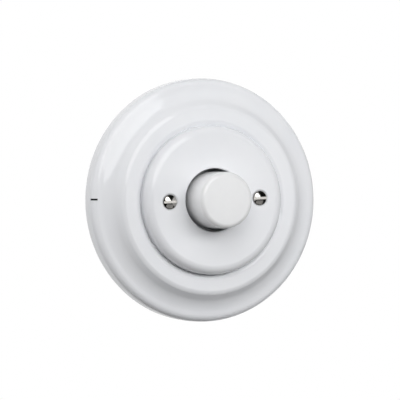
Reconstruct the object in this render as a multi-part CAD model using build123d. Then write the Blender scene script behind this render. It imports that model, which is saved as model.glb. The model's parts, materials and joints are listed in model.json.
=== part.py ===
# A porcelain rotary dimmer for a flush wall box: a stepped rosette, a centre
# plate with two screws, and a plain knob that turns to dim and pushes to switch.
# Every function below works in the device's own frame, in millimetres: Z points
# out of the wall along the knob's axis, Y is up and the wall is at Z = 0.
# place() turns the finished pieces so that +Z is up and the knob faces -Y.
import os
from math import cos, radians, sin

from build123d import *

# Frame ring: glazed porcelain, moulded hollow at the back
RING_RADIUS = 50.0
RING_WALL = 4.5
RING_BACK_ROUND = 0.6
LIP_TOP = 7.56
LIP_ROUND = 3.2
COVE_CORNER = (43.18, 8.04)
COVE_ROUND = 7.4
BEAD_RADIUS = 38.35
BEAD_TOP = 13.8
BEAD_ROUND = 2.9
CROWN_INNER = 32.39
CROWN_ROUND = 4.9
CREASE_TOP = 12.3
SEAT_HEIGHT = 11.8
RING_OPENING = 27.3
FLANGE_THICKNESS = 4.0
BEAD_CEILING_RADIUS = 36.9
LIP_CEILING = 3.2
CEILING_STEP = 40.5
RING_INNER_ROUND = 1.2
NOTCH_WIDTH = 6.0
NOTCH_DEPTH = 1.8

# Cover plate: glazed porcelain
COVER_RADIUS = 30.6
COVER_FRONT = 18.7
COVER_SHOULDER = 3.8
COVER_THICKNESS = 3.8
COVER_FOOT_ROUND = 0.4
SPIGOT_CLEARANCE = 0.4
SPIGOT_WALL = 3.5
SPIGOT_END = 9.0
LUG_CLEARANCE = 0.4
KNOB_HOLE_RADIUS = 13.0
KNOB_HOLE_ROUND = 0.6

# Cover screws: slotted, raised countersunk, M3, and the pillars that they pull on
SCREW_OFFSET = 20.0
M3_RADIUS = 1.5
SCREW_HEAD_RADIUS = 2.95
SCREW_DOME = 0.85
SCREW_SLOT_WIDTH = 0.8
SCREW_SLOT_DEPTH = 0.9
SCREW_END = 7.0
SCREW_PLAY = 0.08
SCREW_BOSS_RADIUS = 4.2
SCREW_BOSS_END = 13.4
PILLAR_RADIUS = 3.2
PILLAR_TOP = 12.7
PILLAR_RIVET_RADIUS = 2.0
PILLAR_RIVET_HEAD = 2.9
PILLAR_RIVET_END = 0.8

# Knob: white thermoset, turned to dim and pushed to switch
KNOB_FRONT = 31.3
KNOB_DOME = 0.3
KNOB_RADIUS = 11.65
KNOB_FRONT_RADIUS = 11.55
KNOB_EDGE = 2.0
KNOB_WALL = 2.0
KNOB_ROOF = 3.2
KNOB_SKIRT_END = 13.6
KNOB_HUB_RADIUS = 5.2
KNOB_HUB_END = 14.6
KNOB_RIB_THICKNESS = 1.2
KNOB_RIB_END = 20.5
KNOB_RIBS = 4

# Shaft and its bushing
SHAFT_RADIUS = 3.0
SHAFT_TOP = 26.8
SHAFT_FLAT = 1.6
SHAFT_FLAT_END = 14.0
SHAFT_CHAMFER = 0.5
SHAFT_WAIST = 2.2
SHAFT_FLATS_SPARE = 0.2
SHAFT_SHOULDER = -9.6
PIVOT_RADIUS = 1.5
PIVOT_END = -11.6
BUSHING_RADIUS = 5.0
BUSHING_TOP = 8.0
BUSHING_FLANGE_RADIUS = 6.5
BUSHING_FLANGE_THICKNESS = 0.7
WASHER_RADIUS = 7.5
WASHER_THICKNESS = 0.6
NUT_ACROSS_FLATS = 14.0
NUT_THICKNESS = 2.5
RUNNING_FIT = 0.06
SNUG_FIT = 0.04

# Support plate: zinc-plated steel with the slots for a 60 mm wall box
PLATE_SIDE = 70.0
PLATE_CORNER = 18.0
PLATE_THICKNESS = 1.5
BOX_SCREW_SPACING = 60.0
BOX_SLOT_LENGTH = 7.0
BOX_SLOT_WIDTH = 4.2

# Housing behind the wall: black thermoset cup with its screws
HOUSING_RADIUS = 25.5
HOUSING_WALL = 1.8
HOUSING_DEPTH = 30.0
HOUSING_FLOOR = 2.0
HOUSING_FLAT = 22.0
HOUSING_EDGE = 1.5
BOSS_OFFSET = 15.0
BOSS_RADIUS = 2.6
HOUSING_SCREW_RADIUS = 1.2
HOUSING_SCREW_HEAD = 2.35
HOUSING_SCREW_END = -7.0
HOUSING_BORE_END = -9.0

# Potentiometer
POT_RADIUS = 10.0
POT_WALL = 0.8
POT_FRONT = 1.2
POT_END = -9.2
TRACK_THICKNESS = 1.2
TRACK_HOLE = 3.6
ROTOR_RADIUS = 8.6
ROTOR_TOP = -2.3
ROTOR_DISC_END = -4.6
ROTOR_HUB_RADIUS = 4.8
ROTOR_HUB_END = -6.8
WIPER_INNER = 5.0
WIPER_OUTER = 8.0
WIPER_THICKNESS = 0.3
WIPER_ARM_WIDTH = 1.6
WIPER_ARM_END = -7.85
TAG_SPACING = 5.0
TAG_WIDTH = 1.4
TAG_THICKNESS = 0.4
TAG_INNER = 7.6
TAG_REACH = 12.0

# Push switch behind the potentiometer
SWITCH_WIDTH = 17.0
SWITCH_HEIGHT = 15.0
SWITCH_TOP = -9.75
SWITCH_WALL = 1.3
SWITCH_ROOF = 1.05
SWITCH_BASE = 1.1
PUSH_TRAVEL = 1.8
CONTACT_GAP_PUSHED = 0.1
PLUNGER_RADIUS = 3.3
PLUNGER_TOP = -9.65
PLUNGER_FLANGE = 7.0
PLUNGER_FLANGE_TOP = -11.0
PLUNGER_FLANGE_END = -12.4
PLUNGER_STUB_RADIUS = 1.2
PLUNGER_STUB_END = -13.6
PLUNGER_RECESS = 2.1
PLUNGER_PLAY = 0.1
CONTACT_LENGTH = 12.0
CONTACT_WIDTH = 3.0
CONTACT_THICKNESS = 0.4
CONTACT_OFFSET = 4.8
CONTACT_RADIUS = 1.1
CONTACT_DROP = 0.6
FIXED_CONTACT_RADIUS = 1.3
SPRING_RADIUS = 1.95
SPRING_WIRE = 0.25
SPRING_TURNS = 4

# Circuit board and what stands on it
BOARD_TOP = -17.2
BOARD_THICKNESS = 1.6
BOARD_RADIUS = 23.2
BOARD_FLAT = 19.6
BOARD_BOSS_GAP = 0.6
LEAD_RADIUS = 0.35
LEAD_STICKS_OUT = 0.8
LEAD_HOLE_PLAY = 0.1
CHOKE_X = -15.75
CHOKE_OUTER = 7.2
CHOKE_INNER = 3.4
CHOKE_HALF = 3.0
CHOKE_WINDING = 0.7
CHOKE_WOUND_DEG = 320.0
CAPACITOR_X = 12.7
CAPACITOR_SIZE = (7.0, 13.0, 7.6)
CAPACITOR_PITCH = 10.0
CAPACITOR_EDGE = 0.5
RESISTOR_PLACES = ((-16.2, 10.3), (-16.2, -10.3))
RESISTOR_RADIUS = 1.1
RESISTOR_LENGTH = 6.0
RESISTOR_PITCH = 8.0
TRIAC_Y = 16.8
TRIAC_BODY = (9.2, 10.0, 4.4)
TRIAC_TAB = (6.2, 10.0, 1.3)
TRIAC_PAD = 0.25
TRIAC_HOLE = 1.6
TRIAC_LEAD_PITCH = 2.54
TRIAC_LEAD_X = 9.8
TRIAC_RIVET_HEAD = 2.8
FUSE_Y = -16.6
FUSE_AXIS = -13.5
FUSE_RADIUS = 2.5
FUSE_LENGTH = 20.0
FUSE_CAP_LENGTH = 5.0
FUSE_CAP_RADIUS = 2.6
CLIP_THICKNESS = 0.4
CLIP_LENGTH = 3.6

# Terminals, reached from the back of the housing
TERMINAL_PITCH = 9.0
TERMINALS = 3
TERMINAL_SIZE = (6.0, 7.0, 8.2)
TERMINAL_Y = -15.8
WIRE_RADIUS = 1.75
WIRE_HEIGHT = -24.2
TERMINAL_SCREW_HEAD = 2.6
TERMINAL_SCREW_WELL = 3.0
TERMINAL_SCREW_BACK = 29.0
TERMINAL_HEAD_HEIGHT = 1.8

# Worked out from the sizes above
RING_INSIDE = RING_RADIUS - RING_WALL
CREASE_RADIUS = COVER_RADIUS + 0.3
COVER_UNDERSIDE = COVER_FRONT - COVER_THICKNESS
SPIGOT_RADIUS = RING_OPENING - SPIGOT_CLEARANCE
SPIGOT_INSIDE = SPIGOT_RADIUS - SPIGOT_WALL
HOUSING_INSIDE = HOUSING_RADIUS - HOUSING_WALL
BOARD_BACK = BOARD_TOP - BOARD_THICKNESS
BASE_TOP = BOARD_TOP + SWITCH_BASE
TRACK_TOP = POT_END + TRACK_THICKNESS
LEAD_END = BOARD_BACK - LEAD_STICKS_OUT
CONTACT_TOP = PLUNGER_FLANGE_END
CONTACT_BACK = CONTACT_TOP - CONTACT_THICKNESS
FIXED_CONTACT_TOP = CONTACT_BACK - CONTACT_DROP - PUSH_TRAVEL - CONTACT_GAP_PUSHED
TERMINAL_XS = [TERMINAL_PITCH * (i - (TERMINALS - 1) / 2) for i in range(TERMINALS)]
BOSS_PLACES = [(BOSS_OFFSET * i, BOSS_OFFSET * j) for i in (-1, 1) for j in (-1, 1)]
SCREW_PLACES = [(-SCREW_OFFSET, 0.0), (SCREW_OFFSET, 0.0)]
TAG_XS = [-TAG_SPACING, 0.0, TAG_SPACING]
CHOKE_AXIS = BOARD_TOP + CHOKE_HALF + 0.3
OVER = 1.0


def place(shape):
    """Turn a piece from the device's frame to the hand-in's, knob towards -Y."""
    return Rot(90, 0, 0) * shape


def spun(edges, degrees=360.0):
    """Revolve a closed outline, drawn as (radius, height), about the knob's axis."""
    return revolve(Plane.XZ * make_face(edges), Axis.Z, degrees)


def tube(radius, low, high, bore=0.0, x=0.0, y=0.0):
    """A round bar or tube between two heights."""
    bar = Cylinder(radius, high - low, align=(Align.CENTER, Align.CENTER, Align.MIN))
    if bore > 0:
        bar -= Cylinder(bore, high - low, align=(Align.CENTER, Align.CENTER, Align.MIN))
    return Pos(x, y, low) * bar


def block(width, depth, low, high, x=0.0, y=0.0):
    """A box centred on x, y between two heights."""
    bar = Box(width, depth, high - low, align=(Align.CENTER, Align.CENTER, Align.MIN))
    return Pos(x, y, low) * bar


def cone(low_radius, high_radius, low, high, x=0.0, y=0.0):
    """A cone frustum between two heights."""
    centred = (Align.CENTER, Align.CENTER, Align.MIN)
    return Pos(x, y, low) * Cone(low_radius, high_radius, high - low, align=centred)


def joined(pieces):
    """Several solids as one shape. Solids that stay apart stay separate."""
    pieces = list(pieces)
    whole = pieces[0]
    for piece in pieces[1:]:
        whole += piece
    return whole


def d_bar(radius, flat, low, high):
    """A bar with one flat, the flat's distance from the axis given."""
    bar = tube(radius, low, high)
    return bar - block(2 * radius, 2 * radius, low, high, y=flat + radius)


def double_d_bar(radius, waist, low, high):
    """A bar with two opposite flats, each at the waist's distance from the axis."""
    return tube(radius, low, high) & block(2 * radius, 2 * waist, low, high)


def rounded_plate(side, corner, low, high):
    """A square plate with round corners."""
    return Pos(0, 0, low) * extrude(RectangleRounded(side, side, corner), high - low)


def ring_front():
    """Outer wall, rounded lip, cove, bead and the crease that the cover plate stands in."""
    corners = [
        (RING_RADIUS, RING_BACK_ROUND),
        (RING_RADIUS, LIP_TOP),
        COVE_CORNER,
        (BEAD_RADIUS, BEAD_TOP),
        (CROWN_INNER, BEAD_TOP),
        (CREASE_RADIUS, CREASE_TOP),
        (CREASE_RADIUS, SEAT_HEIGHT),
        (RING_OPENING, SEAT_HEIGHT),
    ]
    rounds = [LIP_ROUND, COVE_ROUND, BEAD_ROUND, CROWN_ROUND, 0, 0]
    return [FilletPolyline(corners, radius=rounds)]


def ring_hollow():
    """The underside: flange, ceiling of the bead, ceiling of the lip, foot."""
    flange_back = SEAT_HEIGHT - FLANGE_THICKNESS
    back_in = RING_RADIUS - RING_BACK_ROUND
    points = [
        (RING_OPENING, SEAT_HEIGHT),
        (RING_OPENING, flange_back),
        (BEAD_CEILING_RADIUS, flange_back),
        (CEILING_STEP, LIP_CEILING),
        (RING_INSIDE, LIP_CEILING),
        (RING_INSIDE, 0),
        (back_in, 0),
    ]
    corners = [RING_BACK_ROUND, RING_INNER_ROUND, RING_INNER_ROUND, RING_INNER_ROUND, RING_BACK_ROUND]
    under = FilletPolyline(points, radius=corners)
    edge = TangentArc((back_in, 0), (RING_RADIUS, RING_BACK_ROUND), tangent=(1, 0))
    return [under, edge]


def frame_ring():
    """The stepped rosette, with two notches that keep the cover from turning."""
    ring = spun(ring_front() + ring_hollow())
    notch_y = RING_OPENING + NOTCH_DEPTH / 2
    low = SEAT_HEIGHT - FLANGE_THICKNESS - OVER
    for side in (-1, 1):
        depth = NOTCH_DEPTH + 2 * OVER
        y = side * (notch_y - OVER)
        ring -= block(NOTCH_WIDTH, depth, low, SEAT_HEIGHT + OVER, y=y)
    return ring


def cover_section():
    """Half section of the cover plate, from the knob's hole to the spigot."""
    shoulder_side = COVER_FRONT - COVER_SHOULDER
    shoulder_in = COVER_RADIUS - COVER_SHOULDER
    hole_out = KNOB_HOLE_RADIUS + KNOB_HOLE_ROUND
    hole_low = COVER_FRONT - KNOB_HOLE_ROUND
    foot_in = COVER_RADIUS - COVER_FOOT_ROUND
    foot_up = SEAT_HEIGHT + COVER_FOOT_ROUND
    under = [
        (KNOB_HOLE_RADIUS, hole_low),
        (KNOB_HOLE_RADIUS, COVER_UNDERSIDE),
        (SPIGOT_INSIDE, COVER_UNDERSIDE),
        (SPIGOT_INSIDE, SPIGOT_END),
        (SPIGOT_RADIUS, SPIGOT_END),
        (SPIGOT_RADIUS, SEAT_HEIGHT),
        (foot_in, SEAT_HEIGHT),
    ]
    return [
        TangentArc((foot_in, SEAT_HEIGHT), (COVER_RADIUS, foot_up), tangent=(1, 0)),
        Line((COVER_RADIUS, foot_up), (COVER_RADIUS, shoulder_side)),
        TangentArc((COVER_RADIUS, shoulder_side), (shoulder_in, COVER_FRONT), tangent=(0, 1)),
        Line((shoulder_in, COVER_FRONT), (hole_out, COVER_FRONT)),
        TangentArc((hole_out, COVER_FRONT), (KNOB_HOLE_RADIUS, hole_low), tangent=(-1, 0)),
        Polyline(under),
    ]


def cover_plate():
    """The centre plate, with screw bosses behind it and lugs on its spigot."""
    plate = spun(cover_section())
    lug_width = NOTCH_WIDTH - 2 * LUG_CLEARANCE
    lug_reach = RING_OPENING + NOTCH_DEPTH - LUG_CLEARANCE
    lug_in = SPIGOT_INSIDE + OVER
    for side in (-1, 1):
        y = side * (lug_reach + lug_in) / 2
        plate += block(lug_width, lug_reach - lug_in, SPIGOT_END, SEAT_HEIGHT, y=y)
    hole = M3_RADIUS + 0.25
    mouth = SCREW_HEAD_RADIUS + 0.1
    for x, y in SCREW_PLACES:
        plate += tube(SCREW_BOSS_RADIUS, SCREW_BOSS_END, COVER_UNDERSIDE, x=x, y=y)
        plate -= tube(hole, SCREW_BOSS_END - OVER, COVER_FRONT + OVER, x=x, y=y)
        plate -= cone(hole, mouth, COVER_FRONT - (mouth - hole), COVER_FRONT, x=x, y=y)
    return plate


def cover_screw(x, y):
    """A raised countersunk screw: shank, cone, dome and slot."""
    cone_height = SCREW_HEAD_RADIUS - M3_RADIUS
    cone_low = COVER_FRONT - cone_height
    dome_top = COVER_FRONT + SCREW_DOME
    outline = [
        Polyline(
            (0, dome_top),
            (0, SCREW_END),
            (M3_RADIUS, SCREW_END),
            (M3_RADIUS, cone_low),
            (SCREW_HEAD_RADIUS, COVER_FRONT),
        ),
        TangentArc((0, dome_top), (SCREW_HEAD_RADIUS, COVER_FRONT), tangent=(1, 0)),
    ]
    screw = spun(outline)
    slot_low = dome_top - SCREW_SLOT_DEPTH
    screw -= block(3 * SCREW_HEAD_RADIUS, SCREW_SLOT_WIDTH, slot_low, dome_top + OVER)
    return Pos(x, y, 0) * screw


def cover_screws():
    return joined(cover_screw(x, y) for x, y in SCREW_PLACES)


def pillar(x, y):
    """A tapped brass pillar, riveted through the support plate."""
    post = tube(PILLAR_RADIUS, PLATE_THICKNESS, PILLAR_TOP)
    post += tube(PILLAR_RIVET_RADIUS, -PILLAR_RIVET_END, PLATE_THICKNESS)
    post += tube(PILLAR_RIVET_HEAD, -PILLAR_RIVET_END, 0)
    post -= tube(M3_RADIUS + SCREW_PLAY, SCREW_END - OVER, PILLAR_TOP)
    return Pos(x, y, 0) * post


def cover_pillars():
    return joined(pillar(x, y) for x, y in SCREW_PLACES)


def knob_outline():
    """Half section of the knob's outside, closed along the axis and the skirt's end."""
    edge_low = KNOB_FRONT - KNOB_DOME - KNOB_EDGE
    face_out = KNOB_FRONT_RADIUS - KNOB_EDGE
    face_low = KNOB_FRONT - KNOB_DOME
    return [
        TangentArc((0, KNOB_FRONT), (face_out, face_low), tangent=(1, 0)),
        ThreePointArc(
            (face_out, face_low),
            (face_out + KNOB_EDGE * sin(radians(45)), edge_low + KNOB_EDGE * cos(radians(45))),
            (KNOB_FRONT_RADIUS, edge_low),
        ),
        Polyline(
            (KNOB_FRONT_RADIUS, edge_low),
            (KNOB_RADIUS, KNOB_SKIRT_END),
            (0, KNOB_SKIRT_END),
            (0, KNOB_FRONT),
        ),
    ]


def knob():
    """A hollow knob: skirt, hub with a D-shaped bore, and ribs between them."""
    roof = KNOB_FRONT - KNOB_ROOF
    inside = KNOB_FRONT_RADIUS - KNOB_WALL
    body = spun(knob_outline()) - tube(inside, KNOB_SKIRT_END, roof)
    body += tube(KNOB_HUB_RADIUS, KNOB_HUB_END, roof)
    rib_length = inside - KNOB_HUB_RADIUS + OVER
    rib = block(rib_length, KNOB_RIB_THICKNESS, KNOB_RIB_END, roof)
    rib_x = (inside + KNOB_HUB_RADIUS) / 2
    for i in range(KNOB_RIBS):
        body += Rot(0, 0, 45 + 360 / KNOB_RIBS * i) * Pos(rib_x, 0, 0) * rib
    bore_top = SHAFT_TOP + 0.3
    return body - d_bar(SHAFT_RADIUS + SNUG_FIT, SHAFT_FLAT + SNUG_FIT, KNOB_HUB_END, bore_top)


def shaft():
    """The 6 mm shaft: D end for the knob, two flats for the rotor, pivot at the back."""
    flats_top = ROTOR_TOP + PUSH_TRAVEL + SHAFT_FLATS_SPARE
    bar = tube(SHAFT_RADIUS, flats_top, SHAFT_FLAT_END)
    tip = SHAFT_TOP - SHAFT_CHAMFER
    end = tube(SHAFT_RADIUS, SHAFT_FLAT_END, tip)
    end += cone(SHAFT_RADIUS, SHAFT_RADIUS - SHAFT_CHAMFER, tip, SHAFT_TOP)
    end &= block(4 * SHAFT_RADIUS, 2 * SHAFT_RADIUS, SHAFT_FLAT_END, SHAFT_TOP, y=SHAFT_FLAT - SHAFT_RADIUS)
    bar += end
    bar += double_d_bar(SHAFT_RADIUS, SHAFT_WAIST, SHAFT_SHOULDER, flats_top)
    return bar + tube(PIVOT_RADIUS, PIVOT_END, SHAFT_SHOULDER)


def bushing():
    """The bushing that the shaft turns and slides in, with its flange behind."""
    flange_back = -POT_FRONT - BUSHING_FLANGE_THICKNESS
    bore = SHAFT_RADIUS + RUNNING_FIT
    barrel = tube(BUSHING_RADIUS, flange_back, BUSHING_TOP)
    barrel += tube(BUSHING_FLANGE_RADIUS, flange_back, -POT_FRONT)
    barrel = chamfer(barrel.edges().sort_by(Axis.Z)[-1], 0.4)
    return barrel - tube(bore, flange_back, BUSHING_TOP)


def bushing_washer():
    top = PLATE_THICKNESS + WASHER_THICKNESS
    return tube(WASHER_RADIUS, PLATE_THICKNESS, top, bore=BUSHING_RADIUS + SNUG_FIT)


def bushing_nut():
    """A thin hexagon nut with its front corners chamfered round."""
    low = PLATE_THICKNESS + WASHER_THICKNESS
    across_corners = NUT_ACROSS_FLATS / 2 / cos(radians(30))
    nut = Pos(0, 0, low) * extrude(RegularPolygon(across_corners, 6), NUT_THICKNESS)
    high = low + NUT_THICKNESS
    rounder = cone(across_corners + 2, NUT_ACROSS_FLATS / 2 - 0.2, low - 2, high)
    nut &= rounder
    return nut - tube(BUSHING_RADIUS + SNUG_FIT, low, high)


def support_plate():
    """The steel plate on the wall box, with slots on both 60 mm lines."""
    plate = rounded_plate(PLATE_SIDE, PLATE_CORNER, 0, PLATE_THICKNESS)
    slot = extrude(SlotOverall(BOX_SLOT_LENGTH, BOX_SLOT_WIDTH), PLATE_THICKNESS)
    for turn in (0, 90, 180, 270):
        plate -= Rot(0, 0, turn) * Pos(BOX_SCREW_SPACING / 2, 0, 0) * slot
    plate -= tube(BUSHING_RADIUS + SNUG_FIT, 0, PLATE_THICKNESS)
    for x, y in SCREW_PLACES:
        plate -= tube(PILLAR_RIVET_RADIUS + SNUG_FIT, 0, PLATE_THICKNESS, x=x, y=y)
    for x, y in BOSS_PLACES:
        plate -= housing_screw_room(x, y, 0, PLATE_THICKNESS)
    rivet_x = triac_rivet_x()
    return plate - tube(TRIAC_HOLE + SNUG_FIT, 0, PLATE_THICKNESS, x=rivet_x, y=TRIAC_Y)


def housing_screw_room(x, y, low, high):
    """The countersunk hole that a housing screw sits in."""
    play = 0.05
    shank = HOUSING_SCREW_RADIUS + play
    head = HOUSING_SCREW_HEAD + play
    return tube(shank, low, high, x=x, y=y) + cone(shank, head, high - (head - shank), high, x=x, y=y)


def housing_screw(x, y):
    """A slotted countersunk screw through the plate into the housing's boss."""
    head_low = PLATE_THICKNESS - (HOUSING_SCREW_HEAD - HOUSING_SCREW_RADIUS)
    screw = tube(HOUSING_SCREW_RADIUS, HOUSING_SCREW_END, head_low)
    screw += cone(HOUSING_SCREW_RADIUS, HOUSING_SCREW_HEAD, head_low, PLATE_THICKNESS)
    screw -= block(3 * HOUSING_SCREW_HEAD, 0.6, PLATE_THICKNESS - 0.6, PLATE_THICKNESS)
    return Pos(x, y, 0) * screw


def housing_screws():
    return joined(housing_screw(x, y) for x, y in BOSS_PLACES)


def cup(radius, flat, low, high):
    """A round bar with one flat side, the shape of the housing inside and out."""
    width = 2 * radius + 2 * OVER
    keep = radius + flat
    return tube(radius, low, high) & block(width, keep, low, high, y=(radius - flat) / 2)


def housing_base():
    """The cup behind the wall: bosses, screw wells and the wire holes below."""
    back = -HOUSING_DEPTH
    flat_inside = HOUSING_FLAT - HOUSING_FLOOR
    shell = cup(HOUSING_RADIUS, HOUSING_FLAT, back, 0)
    shell = fillet(shell.faces().sort_by(Axis.Z)[0].edges(), HOUSING_EDGE)
    shell -= cup(HOUSING_INSIDE, flat_inside, back + HOUSING_FLOOR, 0)
    for x, y in BOSS_PLACES:
        shell += tube(BOSS_RADIUS, back + HOUSING_FLOOR, 0, x=x, y=y)
        shell -= tube(HOUSING_SCREW_RADIUS + 0.05, HOUSING_BORE_END, 0, x=x, y=y)
    for x in TERMINAL_XS:
        shell -= tube(TERMINAL_SCREW_WELL, back, back + HOUSING_FLOOR, x=x, y=TERMINAL_Y)
        shell -= wire_room(x, HOUSING_FLAT, flat_inside)
    return shell


def wire_room(x, far, near):
    """A wire's straight way in, along Y, between two distances below the axis."""
    bore = Cylinder(WIRE_RADIUS, far - near)
    return Pos(x, -(far + near) / 2, WIRE_HEIGHT) * Rot(90, 0, 0) * bore


def terminal_block(x):
    """A brass clamp block: cross bore for the wire, tapped for its screw."""
    width, depth, height = TERMINAL_SIZE
    back = BOARD_BACK - height
    body = block(width, depth, back, BOARD_BACK, x=x, y=TERMINAL_Y)
    body -= wire_room(x, -TERMINAL_Y + depth / 2, -TERMINAL_Y - depth / 2)
    return body - tube(M3_RADIUS + SCREW_PLAY, back, WIRE_HEIGHT, x=x, y=TERMINAL_Y)


def terminal_blocks():
    return joined(terminal_block(x) for x in TERMINAL_XS)


def terminal_screw(x):
    """A slotted cheese-head screw, backed off to let the wire in."""
    head_low = -TERMINAL_SCREW_BACK
    head_top = head_low + TERMINAL_HEAD_HEIGHT
    screw = tube(TERMINAL_SCREW_HEAD, head_low, head_top)
    screw += tube(M3_RADIUS, head_top, WIRE_HEIGHT - WIRE_RADIUS)
    screw -= block(3 * TERMINAL_SCREW_HEAD, SCREW_SLOT_WIDTH, head_low, head_low + SCREW_SLOT_WIDTH)
    return Pos(x, TERMINAL_Y, 0) * screw


def terminal_screws():
    return joined(terminal_screw(x) for x in TERMINAL_XS)


def pot_case():
    """The potentiometer's can, open behind and notched for its tags."""
    case = tube(POT_RADIUS, POT_END, 0)
    case -= tube(POT_RADIUS - POT_WALL, POT_END, -POT_FRONT)
    case -= tube(BUSHING_RADIUS + SNUG_FIT, -POT_FRONT, 0)
    notch_width = 2 * TAG_SPACING + 2 * TAG_WIDTH
    return case - block(notch_width, POT_RADIUS, POT_END, TRACK_TOP, y=-POT_RADIUS)


def track_disc():
    """The disc that carries the resistance track."""
    return tube(POT_RADIUS - POT_WALL - SNUG_FIT, POT_END, TRACK_TOP, bore=TRACK_HOLE)


def pot_tag(x):
    """A solder tag: along the back of the disc, then down into the board."""
    flat_depth = TAG_REACH - TAG_INNER
    flat_y = -(TAG_REACH + TAG_INNER) / 2
    tag = block(TAG_WIDTH, flat_depth, POT_END - TAG_THICKNESS, POT_END, x=x, y=flat_y)
    leg_y = -TAG_REACH + TAG_THICKNESS / 2
    return tag + block(TAG_WIDTH / 2, TAG_THICKNESS, LEAD_END, POT_END, x=x, y=leg_y)


def pot_tags():
    return joined(pot_tag(x) for x in TAG_XS)


def wiper_rotor():
    """The rotor that the shaft turns while it slides through."""
    rotor = tube(ROTOR_RADIUS, ROTOR_DISC_END, ROTOR_TOP)
    rotor += tube(ROTOR_HUB_RADIUS, ROTOR_HUB_END, ROTOR_TOP)
    room = SHAFT_RADIUS + RUNNING_FIT
    waist = SHAFT_WAIST + RUNNING_FIT
    return rotor - double_d_bar(room, waist, ROTOR_HUB_END, ROTOR_TOP)


def wiper_contact():
    """A brass ring on the rotor with two sprung fingers down to the track."""
    back = ROTOR_DISC_END - WIPER_THICKNESS
    contact = tube(WIPER_OUTER, back, ROTOR_DISC_END, bore=WIPER_INNER)
    middle = (WIPER_INNER + WIPER_OUTER) / 2
    reach = 3.4
    for side in (-1, 1):
        finger = Polyline(
            (side * reach, ROTOR_DISC_END),
            (0, WIPER_ARM_END + WIPER_THICKNESS),
            (0, WIPER_ARM_END),
            (side * (reach + WIPER_THICKNESS), ROTOR_DISC_END),
            (side * reach, ROTOR_DISC_END),
        )
        blade = extrude(Plane.XZ * make_face(finger), WIPER_ARM_WIDTH / 2, both=True)
        contact += Pos(0, side * middle, 0) * blade
    return contact


def switch_case():
    """The push switch's case, open towards its base."""
    case = block(SWITCH_WIDTH, SWITCH_HEIGHT, BASE_TOP, SWITCH_TOP)
    room_width = SWITCH_WIDTH - 2 * SWITCH_WALL
    room_height = SWITCH_HEIGHT - 2 * SWITCH_WALL
    case -= block(room_width, room_height, BASE_TOP, SWITCH_TOP - SWITCH_ROOF)
    return case - tube(PLUNGER_RADIUS + PLUNGER_PLAY, BASE_TOP, SWITCH_TOP)


def switch_base():
    """The base that closes the switch and carries its fixed contacts."""
    base = block(SWITCH_WIDTH, SWITCH_HEIGHT, BOARD_TOP, BASE_TOP)
    for side in (-1, 1):
        base -= lead_hole(side * CONTACT_OFFSET, 0, BOARD_TOP, BASE_TOP)
    return base


def fixed_contacts():
    """The two fixed contacts, each a rivet whose pin goes into the board."""
    contacts = []
    for side in (-1, 1):
        x = side * CONTACT_OFFSET
        head = tube(FIXED_CONTACT_RADIUS, BASE_TOP, FIXED_CONTACT_TOP, x=x)
        contacts.append(head + tube(LEAD_RADIUS, LEAD_END, BASE_TOP, x=x))
    return joined(contacts)


def plunger():
    """The piece that the shaft's end turns in, and that the spring pushes out."""
    body = tube(PLUNGER_RADIUS, PLUNGER_FLANGE_END, PLUNGER_TOP)
    body += block(PLUNGER_FLANGE, PLUNGER_FLANGE, PLUNGER_FLANGE_END, PLUNGER_FLANGE_TOP)
    body += tube(PLUNGER_STUB_RADIUS, PLUNGER_STUB_END, PLUNGER_FLANGE_END)
    recess_end = PLUNGER_TOP - PLUNGER_RECESS
    return body - tube(PIVOT_RADIUS + RUNNING_FIT, recess_end, PLUNGER_TOP)


def moving_contact():
    """The bridge under the plunger's flange, with a contact at each end."""
    bridge = block(CONTACT_LENGTH, CONTACT_WIDTH, CONTACT_BACK, CONTACT_TOP)
    for side in (-1, 1):
        x = side * CONTACT_OFFSET
        bridge += tube(CONTACT_RADIUS, CONTACT_BACK - CONTACT_DROP, CONTACT_BACK, x=x)
    return bridge - tube(PLUNGER_STUB_RADIUS + SNUG_FIT, CONTACT_BACK, CONTACT_TOP)


def return_spring():
    """A coil spring between the bridge and the switch's base."""
    gap = 0.05
    low = BASE_TOP + SPRING_WIRE + gap
    high = CONTACT_BACK - SPRING_WIRE - gap
    path = Helix((high - low) / SPRING_TURNS, high - low, SPRING_RADIUS, center=(0, 0, low))
    wire = Plane(origin=path @ 0, z_dir=path % 0) * Circle(SPRING_WIRE)
    return sweep(wire, path, is_frenet=True)


def lead_places():
    """Where leads go through the board."""
    places = [(side * CONTACT_OFFSET, 0.0) for side in (-1, 1)]
    places += [(CAPACITOR_X, side * CAPACITOR_PITCH / 2) for side in (-1, 1)]
    places += [(CHOKE_X + side * CHOKE_OUTER / 2, -CHOKE_OUTER) for side in (-1, 1)]
    places += [(TRIAC_LEAD_X, TRIAC_Y + i * TRIAC_LEAD_PITCH) for i in (-1, 0, 1)]
    for x, y in RESISTOR_PLACES:
        places += [(x + side * RESISTOR_PITCH / 2, y) for side in (-1, 1)]
    return places


def lead_hole(x, y, low, high):
    return tube(LEAD_RADIUS + LEAD_HOLE_PLAY, low, high, x=x, y=y)


def circuit_board():
    """The round board, cut clear of the housing's bosses and flat side."""
    board = cup(BOARD_RADIUS, BOARD_FLAT, BOARD_BACK, BOARD_TOP)
    for x, y in BOSS_PLACES:
        board -= tube(BOSS_RADIUS + BOARD_BOSS_GAP, BOARD_BACK, BOARD_TOP, x=x, y=y)
        board -= block(5, 5, BOARD_BACK, BOARD_TOP, x=x * 1.2, y=y * 1.2)
    for x, y in lead_places():
        board -= lead_hole(x, y, BOARD_BACK, BOARD_TOP)
    for x in TAG_XS:
        leg_y = -TAG_REACH + TAG_THICKNESS / 2
        board -= block(TAG_WIDTH, 2 * TAG_THICKNESS, BOARD_BACK, BOARD_TOP, x=x, y=leg_y)
    return board


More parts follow.
